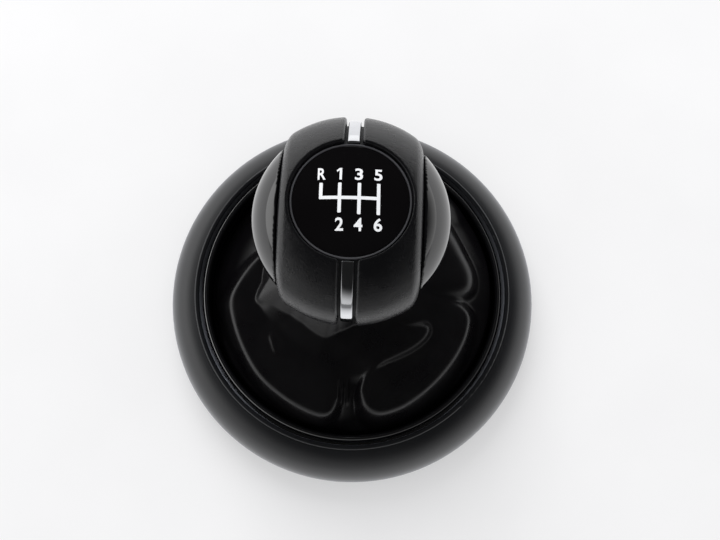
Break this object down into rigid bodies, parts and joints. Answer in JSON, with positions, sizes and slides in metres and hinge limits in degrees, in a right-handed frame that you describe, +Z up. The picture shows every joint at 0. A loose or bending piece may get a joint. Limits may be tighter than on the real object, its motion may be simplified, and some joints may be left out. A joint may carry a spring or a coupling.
{
  "type": "gear shift knob with gaiter and trim ring",
  "caption": "Flattened ball knob with a split leather band, glossy cheeks, a round badge and metal strips, on a folded leatherette gaiter in a round soft-touch trim ring.",
  "frame": {"origin": "centre of the trim ring on the console surface", "axes": "+Z up out of the console, +Y forward away from the driver, +X to the driver's right"},
  "size_m": [0.125, 0.125, 0.0961],
  "materials": {
    "soft_touch_plastic": "moulded black plastic with a soft-touch coat",
    "gloss_black": "moulded black plastic, polished",
    "black_plastic": "moulded black nylon, fine spark-eroded texture",
    "leatherette": "black coated leatherette with a fine grain, slightly glossy on the folds",
    "black_leather": "black grained leather, drawn over half shells",
    "bright_chrome": "chromed plastic, polished",
    "zinc_steel": "zinc-plated steel",
    "spring_steel": "bare spring steel",
    "cast_zinc": "die-cast zinc, machined bore",
    "damper_rubber": "moulded black rubber"
  },
  "bodies": {
    "trim": {"trim_ring": "soft_touch_plastic", "bezel_ring": "gloss_black", "gaiter_frame": "black_plastic", "frame_screws": "zinc_steel", "console_clips": "spring_steel"},
    "boot": {"gaiter": "leatherette"},
    "knob": {"gaiter_tie": "black_plastic", "neck_shroud": "black_plastic", "lever_insert": "cast_zinc", "retaining_spring": "spring_steel", "damper_bush": "damper_rubber", "knob_core": "black_plastic", "left_cheek": "gloss_black", "right_cheek": "gloss_black", "left_shell": "black_plastic", "right_shell": "black_plastic", "left_leather": "black_leather", "right_leather": "black_leather", "front_strip": "bright_chrome", "rear_strip": "bright_chrome", "badge_holder": "black_plastic", "badge_lens": "gloss_black"}
  },
  "joints": [
    {"name": "select", "type": "hinge", "parent": "trim", "child": "boot", "pos_m": [0, 0, -0.1], "axis": [0, 1, 0], "range_deg": [-11, 5.5], "deforming": ["gaiter"]},
    {"name": "shift", "type": "hinge", "parent": "boot", "child": "knob", "pos_m": [0, 0, -0.1], "axis": [-1, 0, 0], "range_deg": [-14.4, 9.6], "deforming": ["gaiter"]}
  ]
}
